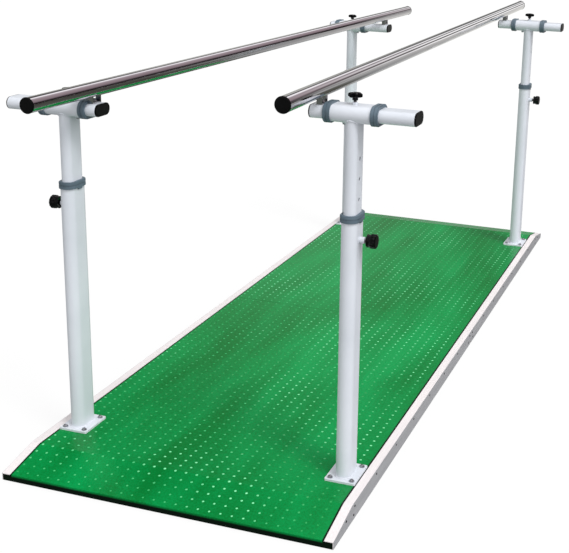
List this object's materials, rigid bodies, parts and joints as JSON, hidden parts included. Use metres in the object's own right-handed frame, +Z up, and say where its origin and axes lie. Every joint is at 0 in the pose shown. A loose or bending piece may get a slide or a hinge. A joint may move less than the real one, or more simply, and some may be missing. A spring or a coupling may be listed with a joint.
{
  "type": "walking parallel bars",
  "caption": "Walking parallel bars: chromed handrails on telescoping flat-oval posts with locking pins and sliding arms, bolted to a ramped, matted platform.",
  "frame": {"origin": "centre of the platform's footprint on the floor, at the underside of the rubber pad under the joint of the two platform halves", "axes": "+Z up, +Y along the walk away from the entry end, +X to the right of someone walking along +Y"},
  "size_m": [1.207, 3.0704, 1.1626],
  "materials": {
    "mat_green": "satin studded",
    "deck_board": "raw",
    "pad_rubber": "matt",
    "trim_metal": "satin",
    "powder_coat": "smooth, light grey-white",
    "slate_plastic": "fine",
    "chrome": "polished",
    "black_plastic": "fine",
    "black_cap": "fine",
    "zinc": "zinc plated",
    "dark_screw": "blackened"
  },
  "bodies": {
    "platform": {"bearers_front": "deck_board", "bearers_rear": "deck_board", "foot_strips": "pad_rubber", "joint_pad": "pad_rubber", "deck_front": "deck_board", "deck_rear": "deck_board", "ramp_front": "deck_board", "ramp_rear": "deck_board", "mat_front": "mat_green", "mat_rear": "mat_green", "trim_front_left": "trim_metal", "trim_front_right": "trim_metal", "trim_rear_left": "trim_metal", "trim_rear_right": "trim_metal", "trim_screws": "dark_screw", "post_front_left": "powder_coat", "post_front_right": "powder_coat", "post_rear_left": "powder_coat", "post_rear_right": "powder_coat", "base_bolts": "zinc", "collars_left": "slate_plastic", "collars_right": "slate_plastic"},
    "lift_front_left": {"mast_front_left": "powder_coat", "bushes_front_left": "slate_plastic", "stop_screw_front_left": "zinc"},
    "lift_front_right": {"mast_front_right": "powder_coat", "bushes_front_right": "slate_plastic", "stop_screw_front_right": "zinc"},
    "lift_rear_left": {"mast_rear_left": "powder_coat", "bushes_rear_left": "slate_plastic", "stop_screw_rear_left": "zinc"},
    "lift_rear_right": {"mast_rear_right": "powder_coat", "bushes_rear_right": "slate_plastic", "stop_screw_rear_right": "zinc"},
    "handrail_left": {"arm_front_left": "powder_coat", "arm_caps_front_left": "black_cap", "pivot_bolt_left": "zinc", "rail_left": "chrome", "rail_caps_left": "black_cap", "brackets_left": "chrome"},
    "handrail_right": {"arm_front_right": "powder_coat", "arm_caps_front_right": "black_cap", "pivot_bolt_right": "zinc", "rail_right": "chrome", "rail_caps_right": "black_cap", "brackets_right": "chrome"},
    "slide_rear_left": {"arm_rear_left": "powder_coat", "arm_caps_rear_left": "black_cap", "guide_bolt_left": "zinc"},
    "slide_rear_right": {"arm_rear_right": "powder_coat", "arm_caps_rear_right": "black_cap", "guide_bolt_right": "zinc"},
    "pin_front_left": {"height_knob_front_left": "black_plastic"},
    "clamp_front_left": {"star_knob_front_left": "black_plastic"},
    "pin_front_right": {"height_knob_front_right": "black_plastic"},
    "clamp_front_right": {"star_knob_front_right": "black_plastic"},
    "pin_rear_left": {"height_knob_rear_left": "black_plastic"},
    "clamp_rear_left": {"star_knob_rear_left": "black_plastic"},
    "pin_rear_right": {"height_knob_rear_right": "black_plastic"},
    "clamp_rear_right": {"star_knob_rear_right": "black_plastic"}
  },
  "joints": [
    {"name": "lift_front_left", "type": "slide", "parent": "platform", "child": "lift_front_left", "axis": [0, 0, 1], "range_m": [-0.165, 0.165]},
    {"name": "width_front_left", "type": "slide", "parent": "lift_front_left", "child": "handrail_left", "axis": [1, 0, 0], "range_m": [0, 0.021]},
    {"name": "pin_front_left", "type": "slide", "parent": "platform", "child": "pin_front_left", "axis": [1, 0, 0], "range_m": [0, 0.008]},
    {"name": "clamp_front_left", "type": "hinge", "parent": "lift_front_left", "child": "clamp_front_left", "pos_m": [-0.426, -1.2, 1.069], "axis": [0, 0, 1], "range_deg": [-360, 0]},
    {"name": "lift_rear_left", "type": "slide", "parent": "platform", "child": "lift_rear_left", "axis": [0, 0, 1], "range_m": [-0.165, 0.165]},
    {"name": "width_rear_left", "type": "slide", "parent": "lift_rear_left", "child": "slide_rear_left", "axis": [1, 0, 0], "range_m": [0, 0.021]},
    {"name": "pin_rear_left", "type": "slide", "parent": "platform", "child": "pin_rear_left", "axis": [1, 0, 0], "range_m": [0, 0.008]},
    {"name": "clamp_rear_left", "type": "hinge", "parent": "lift_rear_left", "child": "clamp_rear_left", "pos_m": [-0.426, 1.2, 1.069], "axis": [0, 0, 1], "range_deg": [-360, 0]},
    {"name": "lift_front_right", "type": "slide", "parent": "platform", "child": "lift_front_right", "axis": [0, 0, 1], "range_m": [-0.22, 0.11]},
    {"name": "width_front_right", "type": "slide", "parent": "lift_front_right", "child": "handrail_right", "axis": [-1, 0, 0], "range_m": [-0.007, 0.072]},
    {"name": "pin_front_right", "type": "slide", "parent": "platform", "child": "pin_front_right", "axis": [-1, 0, 0], "range_m": [0, 0.008]},
    {"name": "clamp_front_right", "type": "hinge", "parent": "lift_front_right", "child": "clamp_front_right", "pos_m": [0.426, -1.2, 1.124], "axis": [0, 0, 1], "range_deg": [-360, 0]},
    {"name": "lift_rear_right", "type": "slide", "parent": "platform", "child": "lift_rear_right", "axis": [0, 0, 1], "range_m": [-0.22, 0.11]},
    {"name": "width_rear_right", "type": "slide", "parent": "lift_rear_right", "child": "slide_rear_right", "axis": [-1, 0, 0], "range_m": [-0.007, 0.072]},
    {"name": "pin_rear_right", "type": "slide", "parent": "platform", "child": "pin_rear_right", "axis": [-1, 0, 0], "range_m": [0, 0.008]},
    {"name": "clamp_rear_right", "type": "hinge", "parent": "lift_rear_right", "child": "clamp_rear_right", "pos_m": [0.426, 1.2, 1.124], "axis": [0, 0, 1], "range_deg": [-360, 0]}
  ],
  "couplings": [
    {"joint": "lift_rear_left", "follows": "lift_front_left", "ratio": 1},
    {"joint": "width_rear_left", "follows": "width_front_left", "ratio": 1},
    {"joint": "lift_rear_right", "follows": "lift_front_right", "ratio": 1},
    {"joint": "width_rear_right", "follows": "width_front_right", "ratio": 1}
  ]
}
